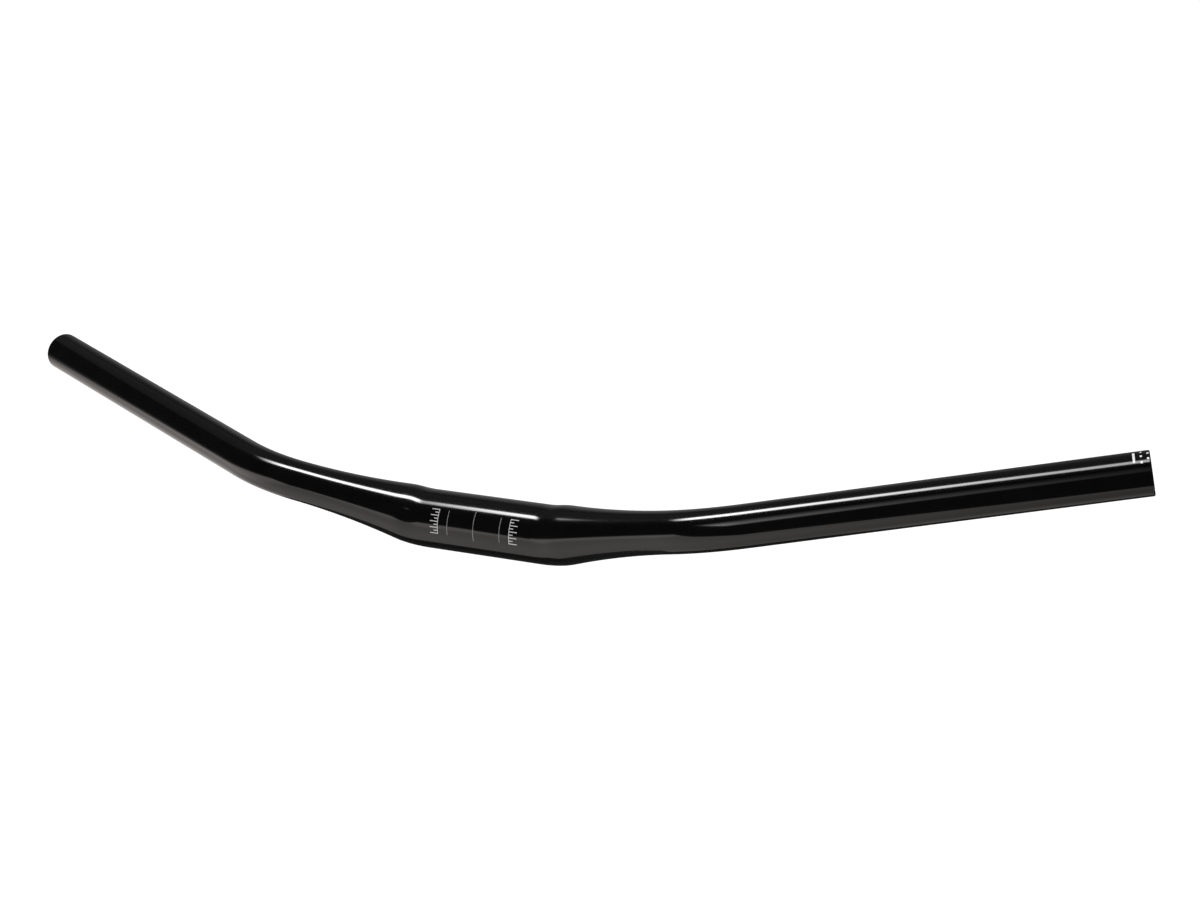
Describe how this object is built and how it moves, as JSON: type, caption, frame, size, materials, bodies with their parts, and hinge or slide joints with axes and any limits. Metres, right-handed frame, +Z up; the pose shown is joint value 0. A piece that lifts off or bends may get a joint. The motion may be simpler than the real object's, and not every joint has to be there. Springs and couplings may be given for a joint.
{
  "type": "bicycle handlebar",
  "caption": "Black bent tube handlebar with a thick middle for a stem clamp, a low rise and grips swept back toward the rider.",
  "frame": {"origin": "centre of the straight clamp stretch, on its axis", "axes": "+X along the clamp axis to the rider's left end as the rider faces forward along -Y, +Y back toward the rider, +Z up"},
  "size_m": [0.6874, 0.0943, 0.0638],
  "materials": {
    "gloss_black_coat": "smooth gloss black coat on aluminium"
  },
  "bodies": {
    "root": {"handlebar": "gloss_black_coat"}
  },
  "joints": []
}
